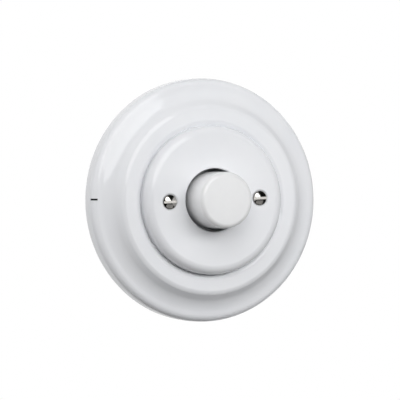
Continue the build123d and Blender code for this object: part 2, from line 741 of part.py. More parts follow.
def choke_core():
    """The powdered-iron ring of the interference choke."""
    inner = CHOKE_INNER + CHOKE_WINDING
    outer = CHOKE_OUTER - CHOKE_WINDING
    half = CHOKE_HALF - CHOKE_WINDING
    core = tube(outer, CHOKE_AXIS - half, CHOKE_AXIS + half, bore=inner)
    return Pos(CHOKE_X, 0, 0) * core


def choke_winding():
    """The choke's winding as one wound body round the core, open where it starts."""
    play = 0.03
    low = CHOKE_AXIS - CHOKE_HALF
    high = CHOKE_AXIS + CHOKE_HALF
    wound = tube(CHOKE_OUTER, low, high, bore=CHOKE_INNER)
    core_room = tube(
        CHOKE_OUTER - CHOKE_WINDING + play,
        low + CHOKE_WINDING - play,
        high - CHOKE_WINDING + play,
        bore=CHOKE_INNER + CHOKE_WINDING - play,
    )
    wound -= core_room
    open_half = CHOKE_OUTER * sin(radians((360 - CHOKE_WOUND_DEG) / 2))
    wound -= block(CHOKE_OUTER * 2, 2 * open_half, low, high, x=-CHOKE_OUTER)
    wound = Pos(CHOKE_X, 0, 0) * wound
    for side in (-1, 1):
        x = CHOKE_X + side * CHOKE_OUTER / 2
        wound += tube(LEAD_RADIUS, LEAD_END, low, x=x, y=-CHOKE_OUTER)
        foot_depth = CHOKE_OUTER / 2
        foot_y = -CHOKE_OUTER + foot_depth / 2 - LEAD_RADIUS
        wound += block(2 * LEAD_RADIUS, foot_depth, low, low + 2 * LEAD_RADIUS, x=x, y=foot_y)
    return wound


def film_capacitor():
    """The boxed suppression capacitor with its two leads."""
    width, depth, height = CAPACITOR_SIZE
    stand = 0.3
    body = block(width, depth, BOARD_TOP + stand, BOARD_TOP + stand + height)
    body = fillet(body.edges().filter_by(Axis.Z), CAPACITOR_EDGE)
    for side in (-1, 1):
        y = side * CAPACITOR_PITCH / 2
        body += tube(LEAD_RADIUS, LEAD_END, BOARD_TOP + stand, y=y)
    return Pos(CAPACITOR_X, 0, 0) * body


def resistor(x, y):
    """An axial resistor lying on the board, its leads bent down."""
    axis = BOARD_TOP + RESISTOR_RADIUS + 0.3
    body = Pos(x, y, axis) * Rot(0, 90, 0) * Cylinder(RESISTOR_RADIUS, RESISTOR_LENGTH)
    body += Pos(x, y, axis) * Rot(0, 90, 0) * Cylinder(LEAD_RADIUS, RESISTOR_PITCH)
    for side in (-1, 1):
        lead_x = x + side * RESISTOR_PITCH / 2
        body += tube(LEAD_RADIUS, LEAD_END, axis, x=lead_x, y=y)
        body += Pos(lead_x, y, axis) * Sphere(LEAD_RADIUS)
    return body


def resistors():
    return joined(resistor(x, y) for x, y in RESISTOR_PLACES)


def triac_rivet_x():
    """The tab's hole, at the far end from the leads."""
    return -TRIAC_BODY[0] / 2 - TRIAC_TAB[0] / 2 + 1.5


def triac_pad():
    """A thin insulating pad between the triac and the plate."""
    length = TRIAC_BODY[0] + TRIAC_TAB[0]
    middle = -TRIAC_TAB[0] / 2 + 1.5
    pad = block(length, TRIAC_BODY[1], -TRIAC_PAD, 0, x=middle, y=TRIAC_Y)
    return pad - tube(TRIAC_HOLE + SNUG_FIT, -TRIAC_PAD, 0, x=triac_rivet_x(), y=TRIAC_Y)


def triac():
    """The power switch: moulded body, metal tab and three bent leads."""
    length, width, thickness = TRIAC_BODY
    tab_length, tab_width, tab_thickness = TRIAC_TAB
    top = -TRIAC_PAD
    middle = 1.5
    body = block(length, width, top - thickness, top, x=middle, y=TRIAC_Y)
    rivet_x = triac_rivet_x()
    body += block(tab_length, tab_width, top - tab_thickness, top, x=rivet_x, y=TRIAC_Y)
    body -= tube(TRIAC_HOLE + SNUG_FIT, top - tab_thickness, top, x=rivet_x, y=TRIAC_Y)
    body_end = middle + length / 2
    lead_top = top - thickness / 2
    for i in (-1, 0, 1):
        y = TRIAC_Y + i * TRIAC_LEAD_PITCH
        run = TRIAC_LEAD_X - body_end + LEAD_RADIUS
        lead_x = body_end + run / 2
        body += block(run, 2 * LEAD_RADIUS, lead_top - 2 * LEAD_RADIUS, lead_top, x=lead_x, y=y)
        body += tube(LEAD_RADIUS, LEAD_END, lead_top, x=TRIAC_LEAD_X, y=y)
    return body


def triac_rivet():
    """The rivet through tab, pad and plate."""
    tab_back = -TRIAC_PAD - TRIAC_TAB[2]
    rivet = tube(TRIAC_HOLE, tab_back, PLATE_THICKNESS)
    rivet += tube(TRIAC_RIVET_HEAD, tab_back - 0.7, tab_back)
    rivet += tube(TRIAC_RIVET_HEAD, PLATE_THICKNESS, PLATE_THICKNESS + 0.7)
    return Pos(triac_rivet_x(), TRIAC_Y, 0) * rivet


def along_fuse(radius, start, length):
    """A round bar on the fuse's axis, from a place along X."""
    bar = Cylinder(radius, length)
    return Pos(start + length / 2, FUSE_Y, FUSE_AXIS) * Rot(0, 90, 0) * bar


def fuse_tube():
    return along_fuse(FUSE_RADIUS, -FUSE_LENGTH / 2 + 0.3, FUSE_LENGTH - 0.6)


def fuse_caps():
    """The cup-shaped end caps of the fuse."""
    caps = []
    for side in (-1, 1):
        start = side * FUSE_LENGTH / 2 - (FUSE_CAP_LENGTH if side > 0 else 0)
        cap = along_fuse(FUSE_CAP_RADIUS, start, FUSE_CAP_LENGTH)
        caps.append(cap - along_fuse(FUSE_RADIUS + 0.01, -FUSE_LENGTH / 2 + 0.3, FUSE_LENGTH - 0.6))
    return joined(caps)


def fuse_clip(x):
    """A sprung clip: two curved cheeks round the cap on one foot."""
    play = 0.02
    outer = FUSE_CAP_RADIUS + CLIP_THICKNESS
    clip = along_fuse(outer, x - CLIP_LENGTH / 2, CLIP_LENGTH)
    foot_top = FUSE_AXIS - FUSE_CAP_RADIUS
    clip += block(CLIP_LENGTH, outer, BOARD_TOP, foot_top, x=x, y=FUSE_Y)
    clip -= along_fuse(FUSE_CAP_RADIUS + play, x - CLIP_LENGTH, 2 * CLIP_LENGTH)
    mouth_low = FUSE_AXIS + FUSE_CAP_RADIUS / 2
    return clip - block(2 * CLIP_LENGTH, 3 * outer, mouth_low, FUSE_AXIS + 2 * outer, x=x, y=FUSE_Y)


def fuse_clips():
    offset = (FUSE_LENGTH - FUSE_CAP_LENGTH) / 2
    return joined(fuse_clip(side * offset) for side in (-1, 1))


NODES = {
    "frame_ring": frame_ring,
    "cover_plate": cover_plate,
    "cover_screws": cover_screws,
    "cover_pillars": cover_pillars,
    "knob": knob,
    "shaft": shaft,
    "bushing": bushing,
    "bushing_washer": bushing_washer,
    "bushing_nut": bushing_nut,
    "support_plate": support_plate,
    "housing_base": housing_base,
    "housing_screws": housing_screws,
    "terminal_blocks": terminal_blocks,
    "terminal_screws": terminal_screws,
    "pot_case": pot_case,
    "track_disc": track_disc,
    "pot_tags": pot_tags,
    "wiper_rotor": wiper_rotor,
    "wiper_contact": wiper_contact,
    "switch_case": switch_case,
    "switch_base": switch_base,
    "fixed_contacts": fixed_contacts,
    "plunger": plunger,
    "moving_contact": moving_contact,
    "return_spring": return_spring,
    "circuit_board": circuit_board,
    "choke_core": choke_core,
    "choke_winding": choke_winding,
    "film_capacitor": film_capacitor,
    "resistors": resistors,
    "triac": triac,
    "triac_pad": triac_pad,
    "triac_rivet": triac_rivet,
    "fuse_tube": fuse_tube,
    "fuse_caps": fuse_caps,
    "fuse_clips": fuse_clips,
}

os.makedirs("parts", exist_ok=True)
for name, make in NODES.items():
    export_step(place(make()), f"parts/{name}.step")
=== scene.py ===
# The looks of a porcelain rotary dimmer: glazed rosette and centre plate, white knob, nickel screws,
# and the plated and moulded pieces of its insert. Sizes are in millimetres and become metres in the mesh.
import json
from math import acos, atan2, cos, pi, radians, sin, tan

import bmesh
import bpy
from mathutils import Matrix, Vector


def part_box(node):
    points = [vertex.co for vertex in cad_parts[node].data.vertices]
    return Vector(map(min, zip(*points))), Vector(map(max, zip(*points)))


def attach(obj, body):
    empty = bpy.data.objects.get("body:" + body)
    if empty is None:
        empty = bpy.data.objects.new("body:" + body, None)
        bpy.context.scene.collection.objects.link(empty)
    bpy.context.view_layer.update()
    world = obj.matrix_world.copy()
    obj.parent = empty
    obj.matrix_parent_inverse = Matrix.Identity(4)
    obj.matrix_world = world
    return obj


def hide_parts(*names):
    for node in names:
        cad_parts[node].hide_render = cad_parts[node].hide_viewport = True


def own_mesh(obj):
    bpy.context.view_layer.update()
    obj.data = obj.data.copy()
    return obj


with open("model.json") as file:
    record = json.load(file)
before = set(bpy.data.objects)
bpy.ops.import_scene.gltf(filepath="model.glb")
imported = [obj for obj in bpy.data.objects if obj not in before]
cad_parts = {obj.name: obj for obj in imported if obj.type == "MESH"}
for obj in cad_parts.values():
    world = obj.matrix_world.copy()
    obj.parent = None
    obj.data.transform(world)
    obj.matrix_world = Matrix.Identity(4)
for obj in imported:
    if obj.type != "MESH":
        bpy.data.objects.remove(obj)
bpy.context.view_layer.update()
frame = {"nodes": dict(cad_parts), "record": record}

MM = 0.001
RECORD = frame["record"]
BODY_OF = {node: body for body, nodes in RECORD["behaviour"]["bodies"].items() for node in nodes}
SLOT_OF = {part["node"]: part["material_slot"] for part in RECORD["subparts"]}

# View of the photograph
VIEW_AZIMUTH = -23.0
VIEW_ELEVATION = 1.0
VIEW_ROLL = -2.05
VIEW_DISTANCE = 3.0
VIEW_TARGET = (0.0, -0.00275, 0.0)
SENSOR = 36.0
LENS = 656.5
CLIP_START = 0.1
CLIP_END = 20

# Soft lights, which reflections don't see: name, azimuth, elevation, distance, width, height, watts
AMBIENT = 0.03
LAMPS = (
    ("key_softbox", -15, 29, 1.6, 1.4, 1.4, 16.3),
    ("left_light", -84, 8, 1.8, 0.7, 1.2, 4.2),
    ("left_back_light", -108, 15, 1.8, 0.8, 1.2, 14.0),
    ("top_light", 0, 70, 1.8, 1.4, 0.7, 3.0),
    ("front_fill", 25, 18, 2.4, 1.6, 0.8, 24.8),
    ("right_light", 65, 5, 1.8, 0.8, 0.8, 4.5),
    ("back_light", 165, 30, 2.2, 1.6, 1.0, 22.0),
)
# What reflections see: name, azimuth, elevation, radiance, outline as shares of the distance
CARD_DISTANCE = 1.6
CARDS = (
    ("key_card", -14, 30, 2.7, (
        (-0.20, 0.50), (0.13, 0.51), (0.55, -0.20), (0.62, -0.48),
        (0.06, -0.47), (-0.32, -0.31), (-0.47, -0.07), (-0.43, 0.17),
    )),
    ("front_card", 23, -1, 1.1, ((-0.16, 0.16), (0.16, 0.16), (0.16, -0.16), (-0.16, -0.16))),
    ("low_card", 15, -48, 0.3, ((-0.7, 0.4), (0.7, 0.4), (0.7, -0.4), (-0.7, -0.4))),
)
ROOM_RADIUS = 4.0
ROOM_MOUTH = 2.0
ROOM_SEGMENTS = 48
FLOOR_DROP = -1.4
FLOOR_SIZE = 0.9

# Ring. A size that is a node's extent comes from the frame, here and below
RING_LOW, RING_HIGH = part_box("frame_ring")
RING_RADIUS = RING_HIGH.x / MM
BEAD_TOP = -RING_LOW.y / MM
LIP_TOP = 7.38
LIP_ROUND = 3.2
COVE_FOOT = (43.0, 8.24)
COVE_ROUND = 8.7
BEAD = (38.35, 13.5)
BEAD_ROUND = 2.9
CROWN_IN = 32.0
CROWN_ROUND = 3.3
CREASE_TOP = 12.75
CREASE_BITE = 0.05
SEAT = 11.8
RING_OPENING = 27.3
FLANGE_BACK = 7.8
HOLLOW_IN = 36.9
HOLLOW_STEP = 40.5
HOLLOW_OUT = 45.5
LIP_CEILING = 3.2
HOLLOW_ROUND = 1.2
BACK_EDGE = 0.6
FLANGE_EDGE = 0.5
SEAT_EDGE = 0.4
NOTCH_WIDTH = 6.0
NOTCH_DEPTH = 1.8
NOTCH_OVERCUT = 2.0

# Index tick on the lip, from one angle to another of the lip's round
TICK_FROM = radians(22)
TICK_TO = radians(78)
TICK_STEPS = 10
TICK_WIDTH = 0.75
TICK_WIDTH_STEPS = 4
TICK_PROUD = 0.03
TICK_SUNK = 0.2
TICK_PLACE = radians(2.5)

# Centre plate
COVER_LOW, COVER_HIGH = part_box("cover_plate")
COVER_FRONT = -COVER_LOW.y / MM
COVER_RADIUS = COVER_HIGH.x / MM
COVER_SHOULDER = 3.8
COVER_THICKNESS = 3.8
COVER_UNDERSIDE = COVER_FRONT - COVER_THICKNESS
COVER_EDGE = 0.4
SPIGOT_ROOT = 0.5
HOLE_EDGE = 0.6
MOUTH_ROUND = 0.35
SPIGOT_RADIUS = 26.9
SPIGOT_INSIDE = 23.4
SPIGOT_END = -COVER_HIGH.y / MM
KNOB_HOLE = 13.0
SCREW_X = 20.0
SCREW_HOLE = 1.75
SCREW_MOUTH = 3.5
BOSS_RADIUS = 4.2
BOSS_END = 13.4
BOSS_EDGE = 0.3
LUG_WIDTH = 5.2
LUG_REACH = 28.7

# Knob
KNOB_LOW, KNOB_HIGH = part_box("knob")
KNOB_FRONT = -KNOB_LOW.y / MM
KNOB_RADIUS = KNOB_HIGH.x / MM
KNOB_DRAFT = 0.1
KNOB_DOME = 0.3
KNOB_DOME_ROUND = 60
KNOB_EDGE = 2.0
KNOB_WALL = 2.0
KNOB_FRONT_WALL = 3.2
KNOB_ROOF = KNOB_FRONT - KNOB_FRONT_WALL
KNOB_INSIDE_ROUND = 1.0
KNOB_SMALL_EDGE = 0.3
KNOB_STEPS = 192
KNOB_SKIRT_END = -KNOB_HIGH.y / MM
HUB_RADIUS = 5.2
HUB_END = 14.6
HUB_ROOT = 0.6
SHAFT_BORE = 3.04
SHAFT_FLAT = 1.64
SHAFT_SPARE = 0.3
BORE_TOP = -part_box("shaft")[0].y / MM + SHAFT_SPARE
FLAT_OVERLAP = 0.5
RIB_COUNT = 4
RIB_START = 45
RIB_THICKNESS = 1.2
RIB_END = 20.5

# Cover screws
HEAD_RADIUS = 3.0
HEAD_DOME = 1.2
HEAD_ARC = 0.995
HEAD_RIM = 0.08
SLOT_WIDTH = 1.0
SLOT_DEPTH = 1.0
SHANK_RADIUS = 1.5
SHANK_EDGE = 0.3
SCREW_END = 7.0

# Tools reach past what they cut or join by OVER. MERGE is in metres, and the angles are in degrees
OVER = 1.0
MERGE = 0.000002
FINE_STEPS = 288
ROD_STEPS = 96
SMALL_ROUND = 0.7
SMALL_ROUND_STEPS = 3
MIDDLE_ROUND_STEPS = 7
WIDE_ROUND_STEPS = 14
CRISP_ANGLE = 35
CRISP_ANGLE_SCREW = 28
CRISP_ANGLE_INSERT = 30


# Mesh helpers

def round_steps(rounding):
    """A small round takes few steps, a wide one more."""
    if rounding < SMALL_ROUND:
        return SMALL_ROUND_STEPS
    return MIDDLE_ROUND_STEPS if rounding < 2 * SMALL_ROUND else WIDE_ROUND_STEPS


def outline(bm, corners, closed):
    """An outline of (radius, height, rounding) corners with its rounds made by bevelling."""
    verts = [bm.verts.new((r * MM, -h * MM, 0)) for r, h, _ in corners]
    pairs = list(zip(verts, verts[1:] + verts[:1]))
    for a, b in pairs if closed else pairs[:-1]:
        bm.edges.new((a, b))
    places = [v.co.copy() for v in verts]
    for i, (_, _, rounding) in enumerate(corners):
        if not rounding:
            continue
        before = (places[i] - places[i - 1]).normalized()
        after = (places[(i + 1) % len(places)] - places[i]).normalized()
        turn = acos(max(-1, min(1, before.dot(after))))
        bmesh.ops.bevel(
            bm, geom=[verts[i]], offset=rounding * MM * tan(turn / 2), offset_type="OFFSET",
            segments=round_steps(rounding), profile=0.5, affect="VERTICES", material=-1,
        )


def spun(corners, steps, closed):
    """A full turn of an outline about the knob's axis, as a bmesh."""
    bm = bmesh.new()
    outline(bm, corners, closed)
    bmesh.ops.spin(
        bm, geom=bm.verts[:] + bm.edges[:], cent=(0, 0, 0), axis=(0, 1, 0),
        angle=2 * pi, steps=steps, use_merge=True, use_duplicate=False,
    )
    bmesh.ops.remove_doubles(bm, verts=bm.verts, dist=MERGE)
    bmesh.ops.recalc_face_normals(bm, faces=bm.faces)
    return bm


def turned(name, corners):
    """A ring or plate turned about the knob's axis from its closed outline."""
    return finished(name, spun(corners, FINE_STEPS, closed=True))


def finished(name, bm):
    """The bmesh as an object in the scene."""
    mesh = bpy.data.meshes.new(name)
    bm.to_mesh(mesh)
    bm.free()
    piece = bpy.data.objects.new(name, mesh)
    bpy.context.scene.collection.objects.link(piece)
    return piece


def rod(corners, x=0.0, steps=ROD_STEPS):
    """A solid turned about a line x beside the knob's axis, its outline open along that line."""
    bm = spun(corners, steps, closed=False)
    bmesh.ops.translate(bm, verts=bm.verts, vec=(x * MM, 0, 0))
    return bm


def block(width, depth, low, high, x=0.0, y=0.0, turn=0.0):
    """A box centred on x, y between two heights, turned about the knob's axis."""
    bm = bmesh.new()
    bmesh.ops.create_cube(bm, size=MM)
    scale = Matrix.Diagonal((width, high - low, depth, 1))
    shift = Matrix.Translation((x * MM, -(low + high) / 2 * MM, y * MM))
    place = Matrix.Rotation(turn, 4, "Y") @ shift @ scale
    bmesh.ops.transform(bm, matrix=place, verts=bm.verts)
    return bm


def worked(piece, tools, operation="DIFFERENCE"):
    """The piece after its tools, which lie apart, were cut from it or joined to it."""
    whole = bmesh.new()
    for tool in tools:
        part = bpy.data.meshes.new("tool")
        tool.to_mesh(part)
        tool.free()
        whole.from_mesh(part)
    tool = finished("tool", whole)
    change = piece.modifiers.new("work", "BOOLEAN")
    change.operation = operation
    change.solver = "EXACT"
    change.object = tool
    settle(piece)
    bpy.data.objects.remove(tool)
    return piece


def settle(piece):
    """Make the piece's modifiers part of its mesh."""
    graph = bpy.context.evaluated_depsgraph_get()
    piece.data = bpy.data.meshes.new_from_object(piece.evaluated_get(graph))
    piece.modifiers.clear()


def shaded(piece, sharp=CRISP_ANGLE):
    """Smooth shading, with edges sharper than an angle kept crisp and flat faces kept flat."""
    bm = bmesh.new()
    bm.from_mesh(piece.data)
    for face in bm.faces:
        face.smooth = True
    for edge in bm.edges:
        edge.smooth = len(edge.link_faces) != 2 or edge.calc_face_angle(0) < radians(sharp)
    bm.to_mesh(piece.data)
    bm.free()
    normals = piece.modifiers.new("even_faces", "WEIGHTED_NORMAL")
    normals.keep_sharp = True
    return piece


def install(piece, finish, *nodes):
    """Give a piece its finish, and let it stand for its nodes on their body."""
    piece.data.materials.clear()
    piece.data.materials.append(finish)
    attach(piece, BODY_OF[nodes[0]])
    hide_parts(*nodes)
    return piece


# Finishes

def finish(name, colour, roughness, metal=0.0):
    """A material with its constants on the shader's own sockets."""
    made = bpy.data.materials.new(name)
    made.use_nodes = True
    shader = made.node_tree.nodes["Principled BSDF"]
    shader.inputs["Base Color"].default_value = (*colour, 1)
    shader.inputs["Roughness"].default_value = roughness
    shader.inputs["Metallic"].default_value = metal
    return made


def grain(made, scale, detail, stretch=(1, 1, 1)):
    """Noise on the piece's own coordinates, as one number."""
    nodes, links = made.node_tree.nodes, made.node_tree.links
    place = nodes.new("ShaderNodeTexCoord")
    mapping = nodes.new("ShaderNodeMapping")
    mapping.inputs["Scale"].default_value = stretch
    noise = nodes.new("ShaderNodeTexNoise")
    noise.inputs["Scale"].default_value = scale
    noise.inputs["Detail"].default_value = detail
    links.new(place.outputs["Object"], mapping.inputs["Vector"])
    links.new(mapping.outputs["Vector"], noise.inputs["Vector"])
    return noise.outputs["Fac"]


def tint(made, pattern, dark, light):
    """Let the base colour run between two colours over the middle of a pattern's values."""
    nodes, links = made.node_tree.nodes, made.node_tree.links
    ramp = nodes.new("ShaderNodeValToRGB")
    for stop, position, colour in zip(ramp.color_ramp.elements, (0.35, 0.65), (dark, light)):
        stop.position = position
        stop.color = (*colour, 1)
    links.new(pattern, ramp.inputs["Fac"])
    links.new(ramp.outputs["Color"], nodes["Principled BSDF"].inputs["Base Color"])


def polish(made, pattern, low, high):
    """Let the roughness run between two values with a pattern."""
    nodes, links = made.node_tree.nodes, made.node_tree.links
    spread = nodes.new("ShaderNodeMapRange")
    spread.inputs["To Min"].default_value = low
    spread.inputs["To Max"].default_value = high
    links.new(pattern, spread.inputs["Value"])
    links.new(spread.outputs["Result"], nodes["Principled BSDF"].inputs["Roughness"])


def relief(made, pattern, depth, strength):
    """A fine bump of a given depth in millimetres, at a share of its full strength."""
    nodes, links = made.node_tree.nodes, made.node_tree.links
    bump = nodes.new("ShaderNodeBump")
    bump.inputs["Strength"].default_value = strength
    bump.inputs["Distance"].default_value = depth * MM
    links.new(pattern, bump.inputs["Height"])
    links.new(bump.outputs["Normal"], nodes["Principled BSDF"].inputs["Normal"])


def porcelain_glaze():
    """Cool white glaze over porcelain: glossy, with a slight wave and a faint change of tone."""
    made = finish("porcelain_glaze", (0.79, 0.80, 0.83), 0.05)
    tint(made, grain(made, 55, 2), (0.782, 0.793, 0.818), (0.802, 0.811, 0.832))
    polish(made, grain(made, 220, 3), 0.03, 0.07)
    relief(made, grain(made, 90, 1), 0.03, 0.5)
    return made


def tick_painted_shade():
    """The lip's tick is a mark, and its near black colour is painted shade, standing for the shadow
    inside a cut.
    """
    # Painted shade: the near black colour and its small changes stand for shadow in a cut mark.
    made = finish("tick_painted_shade", (0.03, 0.03, 0.033), 0.12)
    tint(made, grain(made, 900, 3), (0.022, 0.022, 0.024), (0.04, 0.04, 0.044))
    polish(made, grain(made, 600, 3), 0.08, 0.18)
    return made


def knob_thermoset():
    """Neutral white moulded thermoset with a soft gloss."""
    made = finish("knob_thermoset", (0.80, 0.80, 0.81), 0.2)
    tint(made, grain(made, 300, 3), (0.792, 0.796, 0.802), (0.804, 0.808, 0.814))
    polish(made, grain(made, 900, 4), 0.16, 0.24)
    relief(made, grain(made, 1500, 2), 0.004, 0.2)
    made.node_tree.nodes["Principled BSDF"].inputs["Specular IOR Level"].default_value = 0.8
    return made


def nickel_plate():
    """Polished nickel with fine marks from the driver."""
    made = finish("nickel_plate", (0.62, 0.60, 0.57), 0.14, 1.0)
    tint(made, grain(made, 900, 4), (0.55, 0.53, 0.50), (0.68, 0.66, 0.63))
    polish(made, grain(made, 2500, 4), 0.08, 0.22)
    relief(made, grain(made, 1800, 3, (1, 1, 6)), 0.02, 0.4)
    return made


def zinc_plate():
    """Bright zinc plate with its cloudy spangle and rolling marks."""
    made = finish("zinc_plate", (0.60, 0.61, 0.62), 0.32, 1.0)
    tint(made, grain(made, 260, 5), (0.50, 0.52, 0.54), (0.68, 0.69, 0.69))
    polish(made, grain(made, 700, 5, (1, 1, 8)), 0.22, 0.45)
    relief(made, grain(made, 900, 3, (1, 1, 12)), 0.01, 0.4)
    return made


def brass():
    """Plain machined brass, slightly dulled."""
    made = finish("brass", (0.72, 0.52, 0.24), 0.28, 1.0)
    tint(made, grain(made, 500, 4), (0.60, 0.42, 0.18), (0.78, 0.58, 0.28))
    polish(made, grain(made, 1500, 4, (1, 8, 1)), 0.20, 0.42)
    return made


def turned_steel():
    """Turned bright metal with fine rings round the axis."""
    made = finish("turned_steel", (0.62, 0.62, 0.64), 0.3, 1.0)
    tint(made, grain(made, 400, 3), (0.56, 0.56, 0.58), (0.66, 0.66, 0.68))
    polish(made, grain(made, 600, 3, (1, 14, 1)), 0.2, 0.4)
    relief(made, grain(made, 500, 2, (1, 20, 1)), 0.01, 0.5)
    return made


def black_thermoset():
    """Black moulded thermoset, matt, with a fine mottled skin."""
    made = finish("black_thermoset", (0.022, 0.022, 0.024), 0.42)
    tint(made, grain(made, 350, 5), (0.016, 0.016, 0.018), (0.032, 0.032, 0.034))
    polish(made, grain(made, 600, 4), 0.34, 0.52)
    relief(made, grain(made, 3000, 3), 0.015, 0.5)
    return made


def natural_nylon():
    """Uncoloured nylon, milky and waxy."""
    made = finish("natural_nylon", (0.74, 0.71, 0.62), 0.4)
    tint(made, grain(made, 300, 3), (0.70, 0.67, 0.58), (0.78, 0.75, 0.66))
    polish(made, grain(made, 900, 3), 0.34, 0.48)
    return made


def tinned_can():
    """Pressed can with a dull tin coat."""
    made = finish("tinned_can", (0.56, 0.56, 0.54), 0.35, 1.0)
    tint(made, grain(made, 350, 5), (0.46, 0.46, 0.45), (0.62, 0.62, 0.60))
    polish(made, grain(made, 1100, 4), 0.28, 0.48)
    return made


def phenolic_laminate():
    """Brown paper laminate with its fibres."""
    made = finish("phenolic_laminate", (0.36, 0.21, 0.08), 0.5)
    tint(made, grain(made, 500, 6, (1, 1, 4)), (0.30, 0.17, 0.06), (0.44, 0.27, 0.11))
    polish(made, grain(made, 900, 4), 0.42, 0.6)
    return made


def spring_wire():
    """Drawn spring wire, grey and bright."""
    made = finish("spring_wire", (0.42, 0.42, 0.43), 0.25, 1.0)
    tint(made, grain(made, 900, 3), (0.36, 0.36, 0.37), (0.50, 0.50, 0.51))
    polish(made, grain(made, 1600, 3), 0.18, 0.34)
    return made


def iron_powder_coat():
    """Yellow coat over pressed iron powder, slightly pitted."""
    made = finish("iron_powder_coat", (0.55, 0.44, 0.06), 0.55)
    tint(made, grain(made, 1200, 5), (0.46, 0.36, 0.04), (0.62, 0.50, 0.09))
    polish(made, grain(made, 900, 3), 0.45, 0.65)
    relief(made, grain(made, 2200, 4), 0.03, 0.6)
    return made


def enamelled_copper():
    """Copper wire under clear enamel."""
    made = finish("enamelled_copper", (0.50, 0.18, 0.07), 0.22, 1.0)
    tint(made, grain(made, 700, 3), (0.42, 0.14, 0.05), (0.58, 0.23, 0.09))
    polish(made, grain(made, 1500, 3), 0.16, 0.3)
    return made


def capacitor_case():
    """Yellow moulded box."""
    made = finish("capacitor_case", (0.60, 0.46, 0.05), 0.35)
    tint(made, grain(made, 500, 3), (0.56, 0.42, 0.045), (0.66, 0.51, 0.06))
    polish(made, grain(made, 1200, 3), 0.28, 0.44)
    return made


def resistor_lacquer():
    """Tan lacquer, slightly uneven."""
    made = finish("resistor_lacquer", (0.52, 0.40, 0.22), 0.35)
    tint(made, grain(made, 900, 4), (0.46, 0.34, 0.18), (0.58, 0.46, 0.27))
    polish(made, grain(made, 1400, 3), 0.28, 0.42)
    return made


def triac_moulding():
    """Dark epoxy moulding."""
    made = finish("triac_moulding", (0.02, 0.02, 0.022), 0.5)
    tint(made, grain(made, 900, 5), (0.014, 0.014, 0.016), (0.03, 0.03, 0.032))
    polish(made, grain(made, 1500, 4), 0.4, 0.6)
    return made


def mica_sheet():
    """Thin mica, pale and flaky."""
    made = finish("mica_sheet", (0.55, 0.52, 0.44), 0.3)
    tint(made, grain(made, 500, 6), (0.47, 0.44, 0.36), (0.62, 0.59, 0.50))
    polish(made, grain(made, 800, 4), 0.2, 0.42)
    return made


def rivet_metal():
    """Plain aluminium rivet."""
    made = finish("rivet_metal", (0.66, 0.66, 0.67), 0.36, 1.0)
    tint(made, grain(made, 800, 4), (0.58, 0.58, 0.59), (0.72, 0.72, 0.73))
    polish(made, grain(made, 1600, 3), 0.28, 0.46)
    return made


def fuse_glass():
    """Clear glass with the faintest haze."""
    made = finish("fuse_glass", (0.95, 0.97, 0.97), 0.03)
    made.node_tree.nodes["Principled BSDF"].inputs["Transmission Weight"].default_value = 1.0
    polish(made, grain(made, 900, 3), 0.02, 0.06)
    return made


FINISHES = {
    "porcelain": porcelain_glaze(),
    "knob_white": knob_thermoset(),
    "bright_nickel": nickel_plate(),
    "zinc_steel": zinc_plate(),
    "brass": brass(),
    "shaft_steel": turned_steel(),
    "black_thermoset": black_thermoset(),
    "natural_nylon": natural_nylon(),
    "pot_can": tinned_can(),
    "laminate": phenolic_laminate(),
    "spring_steel": spring_wire(),
    "iron_powder": iron_powder_coat(),
    "copper_wire": enamelled_copper(),
    "capacitor_case": capacitor_case(),
    "resistor_body": resistor_lacquer(),
    "triac_body": triac_moulding(),
    "mica": mica_sheet(),
    "rivet_metal": rivet_metal(),
    "fuse_glass": fuse_glass(),
    "fuse_nickel": nickel_plate(),
}


# Camera and light

def direction(azimuth, elevation):
    """The unit vector from the object towards a place, azimuth 0 in front and positive to the right."""
    a, e = radians(azimuth), radians(elevation)
    return Vector((sin(a) * cos(e), -cos(a) * cos(e), sin(e)))


def camera():
    """A long lens at the photograph's angle, turned a little about its own axis."""
    data = bpy.data.cameras.new("camera")
    data.sensor_width = SENSOR
    data.lens = LENS
    data.clip_start = CLIP_START
    data.clip_end = CLIP_END
    eye = bpy.data.objects.new("camera", data)
    bpy.context.scene.collection.objects.link(eye)
    towards = direction(VIEW_AZIMUTH, VIEW_ELEVATION)
    eye.location = Vector(VIEW_TARGET) + towards * VIEW_DISTANCE
    roll = Matrix.Rotation(radians(VIEW_ROLL), 4, "Z")
    aim = (-towards).to_track_quat("-Z", "Y").to_matrix().to_4x4()
    eye.rotation_euler = (aim @ roll).to_euler()
    bpy.context.scene.camera = eye


def softbox(name, azimuth, elevation, distance, width, height, watts):
    """A rectangular soft light, aimed at the object."""
    data = bpy.data.lights.new(name, "AREA")
    data.shape = "RECTANGLE"
    data.size = width
    data.size_y = height
    data.energy = watts
    lamp = bpy.data.objects.new(name, data)
    bpy.context.scene.collection.objects.link(lamp)
    towards = direction(azimuth, elevation)
    lamp.location = towards * distance
    lamp.rotation_euler = (-towards).to_track_quat("-Z", "Y").to_euler()
    lamp.visible_camera = False
    lamp.visible_glossy = False


def card(name, azimuth, elevation, radiance, shares):
    """A bright panel that only reflections see, facing the object."""
    made = finish(name, (0, 0, 0), 1.0)
    shader = made.node_tree.nodes["Principled BSDF"]
    shader.inputs["Emission Color"].default_value = (1, 1, 1, 1)
    shader.inputs["Emission Strength"].default_value = radiance
    towards = direction(azimuth, elevation)
    across = Vector((0, 0, 1)).cross(towards).normalized()
    upward = towards.cross(across)
    bm = bmesh.new()
    bm.faces.new([
        bm.verts.new((towards + across * x + upward * y) * CARD_DISTANCE) for x, y in shares
    ])
    panel = finished(name, bm)
    panel.data.materials.append(made)
    only_in_reflections(panel)


def only_in_reflections(piece):
    """A thing of the studio that neither the camera nor soft light sees."""
    piece.visible_camera = False
    piece.visible_diffuse = False
    piece.visible_transmission = False
    piece.visible_shadow = False


